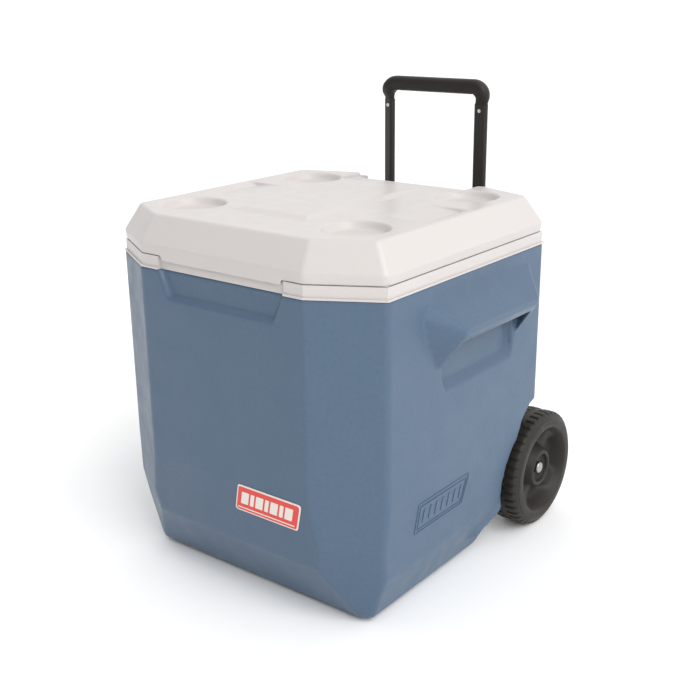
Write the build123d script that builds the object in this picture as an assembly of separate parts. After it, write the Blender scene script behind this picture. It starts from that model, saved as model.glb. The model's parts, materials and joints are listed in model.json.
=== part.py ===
"""Wheeled cooler: a foam-filled body with a hinged lid, two wheels and a telescoping handle.

Millimetres, +Z up, X across the front, Y towards the handle. The origin lies on the floor
under the middle of the body's plan, level with the underside of the centre runner.
"""
from build123d import *
import math
import os

# ---------------------------------------------------------------- driving dimensions
BODY_W = 434.8          # across the straight sides, above the lean
BODY_D = 442.0          # front face to rear face
RUNNER_H = 5.0          # moulded runners lift the body this far off the floor
LEAN_TOP = 166.0        # the leaning faces end and the upright faces begin
BODY_TOP = 424.0        # top edge of the blue shell
RIM_TOP = 440.5         # top of the liner's white rim, on which the lid sits
LID_BOTTOM = 441.0
LID_WIDE = 453.5        # widest line of the lid
LID_TOP = 489.0
LID_SLOPE = 21.0        # how far the lid's sides slope in, from widest line to top
SHELL_T = 3.5           # outer shell wall
FOAM_T = 26.0           # insulation
LINER_T = 3.0           # inner wall
FLOOR_Z = 40.0          # cavity floor
EDGE_R = 10.0           # rounding of the body's outer edges

WHEEL_R = 85.0
WHEEL_W = 53.0
WHEEL_OUTER_X = 228.5
WHEEL_Y = 204.0
ARCH_R = 95.0
ARCH_X = 172.0          # inner wall of each wheel arch
AXLE_R = 6.0
AXLE_END_X = 219.0
RUN_FIT = 0.05          # radial clearance of each shaft in its bore

HINGE_Y = 215.0
HINGE_Z = 476.0
HINGE_PIN_R = 2.0
KNUCKLE_R = 6.0
HINGE_X = (105.0, 109.0, 109.4, 115.4, 115.8, 119.8)   # knuckle edges, outwards from the middle

HANDLE_Y = 242.4
TUBE_X = 79.4
TUBE_LONG = 19.4        # oval tube section
TUBE_SHORT = 9.5
TUBE_WALL = 1.5
TUBE_TWIST = 18.0       # degrees, long axis turned rearwards on the outside
TUBE_BOTTOM = 322.0     # lower end of the sliding tubes when pulled out
TUBE_TOP = 596.0
PLUG_BOTTOM = 572.0     # lower end of the grip's plugs inside the tubes
RIVET_Z = 587.0
GRIP_BOTTOM = 609.0
GRIP_TOP = 630.0
GRIP_HALF_W = 91.7
GRIP_T = 21.0
GUIDE_Z = (112.0, 404.0)
SLIDE_GAP = 0.35        # tube to guide, all round

DRAIN_Y = -60.0
DRAIN_Z = 57.0
DRAIN_X = -193.0        # flat floor of the drain's pocket
DRAIN_BORE = 7.5

HANDLE_MID_Y = 24.0     # middle of the moulded side handles

# Sides of the plan as (outward normal, distance from the middle): n . p = c.
HALF_W, HALF_D = BODY_W / 2, BODY_D / 2
FRONT, REAR = Vector(0, -1), Vector(0, 1)


def side_through(a, b):
    """The plan side through points a and b, with its normal pointing away from the middle."""
    along = (Vector(*b) - Vector(*a)).normalized()
    normal = Vector(along.Y, -along.X)
    distance = normal.dot(Vector(*a))
    return (normal, distance) if distance > 0 else (-normal, -distance)


FRONT_CORNER = side_through((132.3, -HALF_D), (HALF_W, -173.2))
REAR_CORNER = side_through((120.0, HALF_D), (HALF_W, 186.0))
# Height of each side's lower bevel, and how far the side has come in there and at the foot.
LEAN = {"front": (80.0, 9.7, 49.0), "side": (67.0, 7.6, 29.7), "corner": (108.0, 0.0, 20.0)}


def mirrored(side):
    return Vector(-side[0].X, side[0].Y), side[1]


PLAN = [
    (FRONT, HALF_D, "front"),
    (REAR, HALF_D, None),
    (Vector(1, 0), HALF_W, "side"),
    (Vector(-1, 0), HALF_W, "side"),
    (*FRONT_CORNER, "corner"),
    (*mirrored(FRONT_CORNER), "corner"),
    (*REAR_CORNER, None),
    (*mirrored(REAR_CORNER), None),
]


# ---------------------------------------------------------------- helpers
def block(x, y, z):
    """Box from (low, high) pairs."""
    size = Box(x[1] - x[0], y[1] - y[0], z[1] - z[0])
    return Pos((x[0] + x[1]) / 2, (y[0] + y[1]) / 2, (z[0] + z[1]) / 2) * size


def rod_x(radius, x, y, z):
    """Cylinder along X between the two values of x."""
    return Pos((x[0] + x[1]) / 2, y, z) * Rot(0, 90, 0) * Cylinder(radius, abs(x[1] - x[0]))


def rod_y(radius, x, y, z):
    return Pos(x, (y[0] + y[1]) / 2, z) * Rot(90, 0, 0) * Cylinder(radius, abs(y[1] - y[0]))


def rod_z(radius, x, y, z):
    return Pos(x, y, (z[0] + z[1]) / 2) * Cylinder(radius, abs(z[1] - z[0]))


def profile_x(points, x, grow=0.0):
    """Prism of a closed (y, z) outline, grown outwards, between the two values of x."""
    face = make_face(Polyline(*points, close=True))
    if grow:
        face = offset(face, amount=grow, kind=Kind.INTERSECTION)
    return Pos(x[0], 0, 0) * extrude(Plane.YZ * face, amount=x[1] - x[0])


def facet(normal, c0, z0, c1, z1):
    """Plane through n . p = c0 at height z0 and c1 at the greater height z1, facing out."""
    origin = Vector(normal.X * c0, normal.Y * c0, z0)
    return Plane(origin=origin, z_dir=Vector(normal.X * (z1 - z0), normal.Y * (z1 - z0), c0 - c1))


def leaning_face(normal, distance, lean):
    """Plane of a side's leaning face, between its bevel and its upright part."""
    bevel_top, at_bevel, _ = LEAN[lean]
    return facet(normal, distance - at_bevel, bevel_top, distance, LEAN_TOP)


def trim(solid, plane, inset=0.0):
    """Keep what lies behind the plane, moved inwards by the inset."""
    return split(solid, bisect_by=plane.offset(-inset), keep=Keep.BOTTOM)


def plan_prism(z, inset=0.0):
    """The body's upright eight-sided plan between two heights."""
    solid = block((-HALF_W, HALF_W), (-HALF_D, HALF_D), z)
    for normal, distance, _ in PLAN:
        solid = trim(solid, facet(normal, distance, z[0], distance, z[1]), inset)
    return solid


def body_hull(z, inset=0.0):
    """The body's outer form: upright above, leaning below, bevelled at the foot."""
    solid = plan_prism(z, inset)
    for normal, distance, lean in PLAN:
        if lean is None:
            continue
        bevel_top, at_bevel, at_foot = LEAN[lean]
        bevel = facet(normal, distance - at_foot, RUNNER_H, distance - at_bevel, bevel_top)
        solid = trim(solid, bevel, inset)
        if at_bevel:
            solid = trim(solid, leaning_face(normal, distance, lean), inset)
    return solid


def both_sides(solid):
    return [solid, mirror(solid, about=Plane.YZ)]


def cut_both(solid, tool):
    return solid - both_sides(tool)


# ---------------------------------------------------------------- forms shared by the layers
# Underside behind the runners: it climbs, runs level, then steps up over the axle.
UNDERSIDE = [(72, -60), (72, RUNNER_H), (118, 61), (184, 61), (184, 98), (280, 98), (280, -60)]
ARCH_TOP = [(137, 152), (149, 178), (170, 196), (195, 203), (280, 203), (280, 85), (204, 85)]
ARCH_ROOM = [(105, -60), (105, 150), (145, 207), (280, 207), (280, -60)]


def underside_cut(grow=0.0):
    return profile_x(UNDERSIDE, (-HALF_W - 20, HALF_W + 20), grow)


def arch_room(grow=0.0):
    """Space that the inner layers leave round the right wheel arch."""
    return profile_x(ARCH_ROOM, (ARCH_X - SHELL_T - grow, HALF_W + 20), grow)


def wheel_arch():
    """Wheel-arch cut on the right: a circle round the wheel, opened out at the rear."""
    disc = rod_x(ARCH_R, (ARCH_X, HALF_W + 20), WHEEL_Y, WHEEL_R)
    return disc + profile_x(ARCH_TOP, (ARCH_X, HALF_W + 20))


def drain_space(radius, x):
    return rod_x(radius, x, DRAIN_Y, DRAIN_Z)


# ---------------------------------------------------------------- moulded side handle
# Half outlines as (distance from the handle's middle, height), on the wall and on the lip.
HOOD_WALL = [(132, 411), (140, 394), (130, 358), (104, 307)]
HOOD_LIP = [(89, 374), (91, 371), (91, 365), (88, 361)]
HOOD_X = (213.0, 252.0)
ROOM_WALL = [(108, 398), (110, 384), (102, 351), (88, 306)]
ROOM_LIP = [(80, 366), (81, 360), (81, 350), (78, 334)]
ROOM_X = (217.4, 244.0)
RECESS_OUT = [(86, 378), (86, 300), (80, 281)]
RECESS_IN = [(82, 376), (82, 306), (76, 296)]
RECESS_DEPTH = 8.0


def ring(half_outline, x):
    """Closed face at x from one half of an outline, mirrored about the handle's middle."""
    right = [(x, HANDLE_MID_Y + y, z) for y, z in half_outline]
    left = [(x, HANDLE_MID_Y - y, z) for y, z in reversed(half_outline)]
    return make_face(Polyline(*right, *left, close=True))


def side_hood():
    return loft([ring(HOOD_WALL, HOOD_X[0]), ring(HOOD_LIP, HOOD_X[1])], ruled=True)


def hood_room():
    """Room for the fingers under the hood, and the shallow recess in the wall behind it."""
    room = loft([ring(ROOM_WALL, ROOM_X[0]), ring(ROOM_LIP, ROOM_X[1])], ruled=True)
    floor_x = HALF_W - RECESS_DEPTH
    recess = loft([ring(RECESS_IN, floor_x), ring(RECESS_OUT, ROOM_X[0] + 0.01)], ruled=True)
    return room + recess


# ---------------------------------------------------------------- front finger pull
PULL_DEPTH = 7.0


def finger_pull():
    """Shallow recess with sloping edges in the top of the front face."""
    outer = [(-103, 425), (-88, 388), (88, 388), (103, 425)]
    inner = [(-98, 425), (-83, 393.5), (83, 393.5), (98, 425)]
    faces = []
    for outline, y in ((outer, -HALF_D - 0.01), (inner, -HALF_D + PULL_DEPTH)):
        faces.append(make_face(Polyline(*[(x, y, z) for x, z in outline], close=True)))
    return loft(faces, ruled=True)


# ---------------------------------------------------------------- body
def soften_body(solid):
    """Round every edge of the outer form but those round its open top."""
    low_edges = [e for e in solid.edges() if e.center().Z < BODY_TOP - 1]
    return fillet(low_edges, radius=EDGE_R)


def fender():
    """Side wall carried down beside each wheel, standing out from the bevel."""
    outline = [(18, 34), (50, 67), (50, 120), (126, 120), (126, 61), (100, 45), (60, 29)]
    return profile_x(outline, (183.0, 212.0))


def runners():
    return [block((x - 12, x + 12), (-140, 50), (0, RUNNER_H + 1)) for x in (-120, 0, 120)]


def side_plate():
    """Raised blank frame with slanted ends, low on the right side."""
    outer = [(-107, 150), (12, 150), (-2, 108), (-113, 108)]
    lean = leaning_face(Vector(1, 0), HALF_W, "side")
    plate = profile_x(outer, (200, HALF_W)) - profile_x(outer, (190, HALF_W + 5), -4)
    return trim(plate, lean, -0.9)


def foam_envelope():
    """Everything inside the outer shell and under the rim."""
    solid = body_hull((RUNNER_H + SHELL_T, BODY_TOP), SHELL_T)
    solid = solid - underside_cut(SHELL_T)
    solid = cut_both(solid, arch_room())
    recess = block((HALF_W - 12, HALF_W + 5), (HANDLE_MID_Y - 90, HANDLE_MID_Y + 90), (277, 384))
    solid = cut_both(solid, recess)
    pull_back = -HALF_D + PULL_DEPTH + SHELL_T
    solid = solid - block((-107, 107), (-HALF_D - 5, pull_back), (384, BODY_TOP + 5))
    solid = solid - drain_space(30, (-HALF_W - 5, DRAIN_X + SHELL_T))
    crown = plan_prism((BODY_TOP, RIM_TOP - 4.5), 5.5)
    crown = crown - block((-107, 107), (-HALF_D, pull_back), (BODY_TOP, RIM_TOP))
    return solid + crown


def liner_form(extra, floor, top):
    """Liner's outer or inner form, inset from the body by shell, foam and the extra."""
    inset = SHELL_T + FOAM_T + extra
    solid = body_hull((floor, top), inset)
    solid = solid - underside_cut(inset)
    return cut_both(solid, arch_room(FOAM_T - 4 + extra))


def body_shell():
    solid = soften_body(body_hull((RUNNER_H, BODY_TOP)))
    solid = solid + both_sides(fender()) + runners() + both_sides(side_plate())
    solid = solid + both_sides(side_hood())
    solid = cut_both(solid, hood_room())
    solid = solid - underside_cut()
    solid = cut_both(solid, wheel_arch())
    solid = solid - finger_pull()
    solid = solid - drain_space(26, (-HALF_W - 5, DRAIN_X))
    return solid - block((-300, 300), (-300, 300), (BODY_TOP, BODY_TOP + 50))


def inner_liner(cavity):
    flange = plan_prism((BODY_TOP, RIM_TOP), 2.5) + plan_prism((BODY_TOP, BODY_TOP + 2.5), 0.3)
    flange = flange - block((-103, 103), (-HALF_D - 1, -HALF_D + PULL_DEPTH), (BODY_TOP - 1, RIM_TOP + 1))
    wall = liner_form(0.0, FLOOR_Z - LINER_T, BODY_TOP + 2)
    return flange + wall - cavity + drain_boss()


def drain_boss():
    """Flat seat for the drain's nut on the cavity's sloping foot."""
    return drain_space(16, (-184, -164))


# ---------------------------------------------------------------- lid
CUP_X, CUP_Y = 132.8, 121.9
CUP_R, CUP_FLOOR_R, CUP_DEPTH = 42.5, 37.5, 11.0
LID_LAP = 6.5           # how far the front lip hangs over the rim


def lid_form(inset=0.0, low=LID_BOTTOM):
    solid = plan_prism((low, LID_TOP - inset), 1.0 + inset)
    for normal, distance, _ in PLAN:
        wide = distance - 1.0
        solid = trim(solid, facet(normal, wide, LID_WIDE, wide - LID_SLOPE, LID_TOP), inset)
        if inset == 0.0:
            solid = trim(solid, facet(normal, wide - 2.0, LID_BOTTOM, wide, LID_WIDE), inset)
    return solid


def cup(x, y, grow=0.0):
    depth = CUP_DEPTH + grow
    bowl = Cone(CUP_FLOOR_R + grow, CUP_R + grow, depth)
    return Pos(x, y, LID_TOP - depth / 2) * bowl


def cups(grow=0.0):
    return [cup(x, y, grow) for x in (-CUP_X, CUP_X) for y in (-CUP_Y, CUP_Y)]


def raised_panel():
    low = Plane.XY.offset(LID_TOP - 1) * Pos(0, 5) * Rectangle(126 + 34, 238 + 34)
    high = Plane.XY.offset(LID_TOP + 3.5) * Pos(0, 5) * Rectangle(126, 238)
    return loft([low.face(), high.face()], ruled=True)


def side_scoop():
    """Wedge between the two cups of a side, deeper outwards, with a sloping outer wall."""
    points = [(123, LID_TOP + 0.01), (172, LID_TOP - 5), (188, LID_TOP + 0.01)]
    outline = make_face(Polyline(*[(x, -47, z) for x, z in points], close=True))
    return extrude(outline, amount=90, dir=(0, 1, 0))


def rear_dip():
    """Lowered rear middle of the lid, in front of the handle."""
    outline = [(140, LID_TOP + 8), (140, LID_TOP), (166, LID_TOP - 9), (230, LID_TOP - 9), (230, LID_TOP + 8)]
    return profile_x(outline, (-104, 104))


def lid_shell():
    solid = lid_form()
    solid = solid + raised_panel() - cups() - both_sides(side_scoop()) - rear_dip()
    lip = block((-99, 99), (-HALF_D + 2.0, -HALF_D + PULL_DEPTH - 1), (LID_BOTTOM - LID_LAP, LID_BOTTOM + 4))
    return solid + lip


def lid_foam_form():
    """Hollow of the lid, clear of the cups and of the lowered rear."""
    solid = lid_form(3.5)
    solid = solid - cups(3.5)
    dip = profile_x([(136, 500), (136, 485), (160, 476), (230, 476), (230, 500)], (-108, 108))
    scoop = block((119, 192), (-51, 47), (LID_TOP - 9, LID_TOP))
    return solid - dip - both_sides(scoop)


def lid_liner():
    """Inner panel: a plate under the lid's foam and a shallow plug that enters the cavity."""
    plate = plan_prism((LID_BOTTOM + 0.01, LID_BOTTOM + 3), 4.6)
    plug = plan_prism((LID_BOTTOM - 9, LID_BOTTOM + 0.01), SHELL_T + FOAM_T + LINER_T + 3)
    hollow = plan_prism((LID_BOTTOM - 10, LID_BOTTOM - 0.5), SHELL_T + FOAM_T + LINER_T + 6)
    return plate + (plug - hollow)


# ---------------------------------------------------------------- hinges
def hinge_bracket():
    """Strap on the rear wall that rises behind the lid and carries two knuckles."""
    strap = [(HALF_D, 384), (HALF_D + 4, 384), (HALF_D + 4, 470), (HINGE_Y + 4.2, HINGE_Z + 4.2),
             (HINGE_Y - 0.5, HINGE_Z - 5.9), (HALF_D, 466)]
    solid = profile_x(strap, (HINGE_X[0], HINGE_X[5]))
    solid = solid + rod_x(KNUCKLE_R, (HINGE_X[0], HINGE_X[5]), HINGE_Y, HINGE_Z)
    gap = block((HINGE_X[1], HINGE_X[4]), (HINGE_Y - 8, HALF_D + 4.1), (HINGE_Z - 22, HINGE_Z + 8))
    pin_hole = rod_x(HINGE_PIN_R, (HINGE_X[0] - 1, HINGE_X[5] + 1), HINGE_Y, HINGE_Z)
    return solid - gap - pin_hole


def hinge_leaf():
    """Leaf on the lid's sloping rear, with one knuckle."""
    slope = Vector(0, -LID_SLOPE, LID_TOP - LID_WIDE).normalized()
    out = Vector(0, slope.Z, -slope.Y)
    foot = Vector(0, HALF_D - 1, LID_WIDE) + slope * 4
    head = foot + slope * 34
    corners = [foot, foot + out * 3, head + out * 3, head]
    plate = profile_x([(p.Y, p.Z) for p in corners], (HINGE_X[2], HINGE_X[3]))
    near = Vector(0, HINGE_Y, HINGE_Z) - out * 6
    arm = [near - slope * 5, near + slope * 5, near + slope * 5 + out * 6, near - slope * 5 + out * 6]
    solid = plate + profile_x([(p.Y, p.Z) for p in arm], (HINGE_X[2], HINGE_X[3]))
    solid = solid + rod_x(KNUCKLE_R, (HINGE_X[2], HINGE_X[3]), HINGE_Y, HINGE_Z)
    return solid - rod_x(HINGE_PIN_R + RUN_FIT, (HINGE_X[2] - 1, HINGE_X[3] + 1), HINGE_Y, HINGE_Z)


def hinge_pin():
    return rod_x(HINGE_PIN_R, (HINGE_X[0] - 1.2, HINGE_X[5] + 1.2), HINGE_Y, HINGE_Z)


# ---------------------------------------------------------------- fasteners
def screw(head_at, direction, length, shank_r=1.8, head_r=3.6, head_t=2.2):
    """Pan-head screw whose head's underside is at head_at, driven along the direction."""
    seat = Plane(origin=head_at, z_dir=direction)
    shank = seat * Pos(0, 0, length / 2) * Cylinder(shank_r, length)
    head = seat * Pos(0, 0, -head_t / 2) * Cylinder(head_r, head_t)
    return shank + head


def hinge_screws():
    x = (HINGE_X[0] + HINGE_X[5]) / 2
    one_side = [screw((x, HALF_D + 4, z), (0, -1, 0), 11) for z in (392, 410)]
    return [s for one in one_side for s in both_sides(one)]


def leaf_screws():
    slope = Vector(0, -LID_SLOPE, LID_TOP - LID_WIDE).normalized()
    out = Vector(0, slope.Z, -slope.Y)
    x = (HINGE_X[2] + HINGE_X[3]) / 2
    foot = Vector(x, HALF_D - 1, LID_WIDE) + slope * 8.2 + out * 3
    return both_sides(screw(foot, -out, 9, shank_r=1.6, head_r=2.8, head_t=1.6))


# ---------------------------------------------------------------- handle
def oval(grow=0.0, side=1):
    """Section of a handle tube, long axis turned rearwards on the outside."""
    shape = SlotOverall(TUBE_LONG + 2 * grow, TUBE_SHORT + 2 * grow)
    return Pos(side * TUBE_X, HANDLE_Y) * Rot(0, 0, side * TUBE_TWIST) * shape


def oval_prism(z, grow=0.0, side=1):
    return extrude(Pos(0, 0, z[0]) * oval(grow, side), amount=z[1] - z[0])


def handle_tube(side):
    solid = oval_prism((TUBE_BOTTOM, TUBE_TOP), 0.0, side)
    return solid - oval_prism((TUBE_BOTTOM - 1, TUBE_TOP + 1), -TUBE_WALL, side)


def tube_plug(side):
    """Glide pressed into the foot of a sliding tube."""
    collar = oval_prism((TUBE_BOTTOM - 6, TUBE_BOTTOM), 0.2, side)
    return collar + oval_prism((TUBE_BOTTOM, TUBE_BOTTOM + 14), -TUBE_WALL, side)


def guide_tube(side):
    solid = oval_prism(GUIDE_Z, SLIDE_GAP + 1.6, side)
    return solid - oval_prism((GUIDE_Z[0] + 3, GUIDE_Z[1] + 1), SLIDE_GAP, side)


def handle_grip():
    """Bar with rounded ends, and two necks that taper down to plugs inside the tubes."""
    mid_z, height = (GRIP_BOTTOM + GRIP_TOP) / 2, GRIP_TOP - GRIP_BOTTOM
    bar = Pos(0, HANDLE_Y, mid_z) * Box(2 * GRIP_HALF_W, GRIP_T, height)
    upper_ends = bar.edges().filter_by(Axis.Y).group_by(Axis.Z)[-1]
    bar = fillet(upper_ends, radius=15)
    bar = fillet(bar.edges().filter_by(GeomType.LINE).filter_by(Axis.X), radius=5)
    for side in (-1, 1):
        neck = loft([Pos(0, 0, TUBE_TOP) * oval(-0.5, side), Pos(0, 0, GRIP_BOTTOM + 6) * oval(3.0, side)])
        bar = bar + neck + oval_prism((PLUG_BOTTOM, TUBE_TOP), -TUBE_WALL, side)
    return bar


def grip_rivets():
    """One rivet right through each tube and the plug inside it."""
    reach = TUBE_SHORT / 2 + 1.2
    return [rod_y(2.6, side * TUBE_X, (HANDLE_Y - reach, HANDLE_Y + reach), RIVET_Z) for side in (-1, 1)]


def tube_bracket(z):
    """Moulded bracket that holds both guides to the rear wall."""
    solid = block((-94, 94), (HALF_D, HANDLE_Y + 12), z)
    solid = fillet(solid.edges().filter_by(Axis.Z).group_by(Axis.Y)[-1], radius=7)
    solid = solid - block((-58, 58), (HALF_D + 8, HANDLE_Y + 13), (z[0] - 1, z[1] + 1))
    return solid - [oval_prism(z, SLIDE_GAP + 1.6, side) for side in (-1, 1)]


UPPER_BRACKET_Z, LOWER_BRACKET_Z = (372.0, 404.0), (112.0, 140.0)


def bracket_screws():
    screws = []
    for z in (UPPER_BRACKET_Z, LOWER_BRACKET_Z):
        for x in (-40, 40):
            screws.append(screw((x, HALF_D + 8, sum(z) / 2), (0, -1, 0), 18, 2.2, 4.2, 2.6))
    return screws


# ---------------------------------------------------------------- wheels and axle
LUGS = 36
GROOVE_R = WHEEL_R - 2.6
LUG_SHARE = 0.62        # of each pitch that the lug fills


def tread_ring(x, phase):
    """Ring of lugs between the two values of x, about the wheel's axis."""
    outline = []
    for lug in range(LUGS):
        for share, radius in ((0, WHEEL_R), (LUG_SHARE, WHEEL_R), (LUG_SHARE, GROOVE_R), (1, GROOVE_R)):
            angle = 2 * math.pi * (lug + phase + share) / LUGS
            outline.append((radius * math.cos(angle), radius * math.sin(angle)))
    ring = make_face(Polyline(*outline, close=True)) - Circle(GROOVE_R - 8)
    return Pos(x[0], 0, 0) * extrude(Plane.YZ * ring, amount=x[1] - x[0])


def wheel():
    """One-piece moulded wheel on the right, with lugs, a dished side and a hub."""
    out, inn = WHEEL_OUTER_X, WHEEL_OUTER_X - WHEEL_W
    half = [
        (inn + 8, AXLE_R + RUN_FIT), (inn + 8, 24), (inn + 16, 26), (inn + 16, 60), (inn, 64),
        (inn, 76), (inn + 4, GROOVE_R), (out - 4, GROOVE_R), (out, 75), (out, 63), (out - 13, 56),
        (out - 16, 30), (out - 6.5, 26.5), (out - 6.5, 21), (out - 14, 19.5),
        (out - 14, AXLE_R + RUN_FIT),
    ]
    core = revolve(make_face(Polyline(*[(x, r, 0) for x, r in half], close=True)), axis=Axis.X)
    treads = [tread_ring((inn + 4, inn + 22), 0.5), tread_ring((out - 22, out - 4), 0.0)]
    return Pos(0, WHEEL_Y, WHEEL_R) * (core + treads)


def axle():
    return rod_x(AXLE_R, (-AXLE_END_X, AXLE_END_X), WHEEL_Y, WHEEL_R)


def axle_bracket():
    """Saddle under the rear step that carries the axle on the right."""
    plate = block((98, 142), (186, 219), (93.5, 98))
    boss = rod_x(12, (112, 128), WHEEL_Y, WHEEL_R) + block((112, 128), (WHEEL_Y - 12, WHEEL_Y + 12), (WHEEL_R, 95))
    return plate + boss - rod_x(AXLE_R, (90, 150), WHEEL_Y, WHEEL_R)


def axle_screws():
    screws = [screw((x, WHEEL_Y, 93.5), (0, 0, 1), 16, 2.0, 4.0, 2.4) for x in (105, 135)]
    return [s for one in screws for s in both_sides(one)]


def washer(x):
    return rod_x(11, x, WHEEL_Y, WHEEL_R) - rod_x(AXLE_R, (x[0] - 1, x[1] + 1), WHEEL_Y, WHEEL_R)


def push_nut():
    """Domed cap nut pressed on the axle's end."""
    x0 = WHEEL_OUTER_X - 14 + 0.4
    cap = rod_x(8.5, (x0, x0 + 6), WHEEL_Y, WHEEL_R)
    cap = fillet(cap.edges().group_by(Axis.X)[-1], radius=2.5)
    return cap - rod_x(AXLE_R, (x0 - 1, AXLE_END_X), WHEEL_Y, WHEEL_R)


# ---------------------------------------------------------------- drain
def drain_spout():
    flange = drain_space(15, (DRAIN_X - 3, DRAIN_X))
    tube = drain_space(DRAIN_BORE + 2, (DRAIN_X - 9, -150))
    lug = block((DRAIN_X - 7, DRAIN_X - 2), (DRAIN_Y - 4, DRAIN_Y + 4), (DRAIN_Z + 11, DRAIN_Z + 18))
    pin_hole = rod_y(1.25, DRAIN_X - 5, (DRAIN_Y - 5, DRAIN_Y + 5), DRAIN_Z + 16)
    return flange + tube + lug - drain_space(DRAIN_BORE, (DRAIN_X - 20, -140)) - pin_hole


def drain_cap():
    """Flap cap that swings up on a lug above the spout, with a short plug."""
    disc = drain_space(12.5, (DRAIN_X - 12.5, DRAIN_X - 9.3)) + drain_space(5.8, (DRAIN_X - 9.4, DRAIN_X - 6.5))
    ears = []
    for y in (DRAIN_Y - 6.4, DRAIN_Y + 4.4):
        ears.append(block((DRAIN_X - 12.5, DRAIN_X - 5), (y, y + 2), (DRAIN_Z + 9, DRAIN_Z + 16)))
        ears.append(rod_y(2.6, DRAIN_X - 5, (y, y + 2), DRAIN_Z + 16))
    pin = rod_y(1.2, DRAIN_X - 5, (DRAIN_Y - 6.4, DRAIN_Y + 6.4), DRAIN_Z + 16)
    return disc + ears + pin


def drain_washer():
    return drain_space(14, (-164, -162)) - drain_space(DRAIN_BORE + 2, (-170, -150))


def drain_nut():
    nut = Pos(-159, DRAIN_Y, DRAIN_Z) * Rot(0, 90, 0) * extrude(RegularPolygon(13, 6), amount=3, both=True)
    return nut - drain_space(DRAIN_BORE + 2, (-170, -140))


# ---------------------------------------------------------------- badge
def badge():
    """Slanted plate with rounded corners on the leaning front face."""
    lean = leaning_face(FRONT, HALF_D, "front")
    seat = Plane(origin=lean.origin, x_dir=(1, 0, 0), z_dir=lean.z_dir)
    low, high = 48.5, 87.5      # up the slope from the bevel's top
    outline = Polyline((9, low), (115, low), (125.5, high), (19.5, high), close=True)
    face = fillet(make_face(outline).vertices(), radius=4)
    return extrude(seat * face, amount=1.2)


# ---------------------------------------------------------------- assembly
def build():
    cavity = liner_form(LINER_T, FLOOR_Z, RIM_TOP + 5)
    foam = foam_envelope()
    shell = body_shell() - foam
    foam = foam - liner_form(0.0, FLOOR_Z - LINER_T, BODY_TOP + 30) - drain_boss()
    liner = inner_liner(cavity) - foam
    lid_hollow = lid_foam_form()
    panel = lid_liner()
    lid_outer = lid_shell() - lid_hollow - plan_prism((LID_BOTTOM - 1, LID_BOTTOM + 3), 4.5)
    lid_foam = lid_hollow - plan_prism((LID_BOTTOM - 1, LID_BOTTOM + 3.01), 0.0)

    rear_screws = hinge_screws() + bracket_screws()
    under_screws = axle_screws()
    top_screws = leaf_screws()
    drain_hole = drain_space(DRAIN_BORE + 2, (-HALF_W, -150))
    shell = shell - rear_screws - under_screws - drain_hole
    foam = foam - rear_screws - under_screws - drain_hole
    liner = liner - drain_hole
    lid_outer, lid_foam = lid_outer - top_screws, lid_foam - top_screws
    bracket = hinge_bracket() - hinge_screws()
    leaf = hinge_leaf() - top_screws
    saddle = axle_bracket() - under_screws
    inner_x = WHEEL_OUTER_X - WHEEL_W + 8
    one_washer = washer((inner_x - 2.0, inner_x - 0.4))
    rivets = grip_rivets()

    nodes = {
        "body_shell": shell,
        "body_foam": foam,
        "inner_liner": liner,
        "lid_shell": lid_outer,
        "lid_foam": lid_foam,
        "lid_liner": panel,
        "hinge_screws": hinge_screws(),
        "leaf_screws": top_screws,
        "handle_grip": handle_grip() - rivets,
        "grip_rivets": rivets,
        "upper_bracket": tube_bracket(UPPER_BRACKET_Z) - bracket_screws(),
        "lower_bracket": tube_bracket(LOWER_BRACKET_Z) - bracket_screws(),
        "bracket_screws": bracket_screws(),
        "axle": axle(),
        "axle_screws": under_screws,
        "drain_spout": drain_spout(),
        "drain_washer": drain_washer(),
        "drain_nut": drain_nut(),
        "drain_cap": drain_cap(),
        "front_badge": badge(),
    }
    pairs = {
        "hinge_bracket": bracket,
        "hinge_leaf": leaf,
        "hinge_pin": hinge_pin(),
        "axle_bracket": saddle,
        "wheel": wheel(),
        "wheel_washer": one_washer,
        "push_nut": push_nut(),
    }
    for name, right in pairs.items():
        nodes[f"{name}_right"], nodes[f"{name}_left"] = both_sides(right)
    for name, side in (("right", 1), ("left", -1)):
        nodes[f"handle_tube_{name}"] = handle_tube(side) - rivets
        nodes[f"tube_plug_{name}"] = tube_plug(side)
        nodes[f"guide_tube_{name}"] = guide_tube(side)
    return nodes


def main():
    os.makedirs("parts", exist_ok=True)
    for name, shape in build().items():
        solid = Compound(children=shape) if isinstance(shape, list) else shape
        export_step(solid, f"parts/{name}.step")


main()
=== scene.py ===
"""Looks of the wheeled cooler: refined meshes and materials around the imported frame.

Lengths are in metres in the frame's axes: X across the front, Y towards the handle, Z up.
"""

import itertools
import json
import math

import bmesh
import bpy
from mathutils import Matrix, Vector


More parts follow.
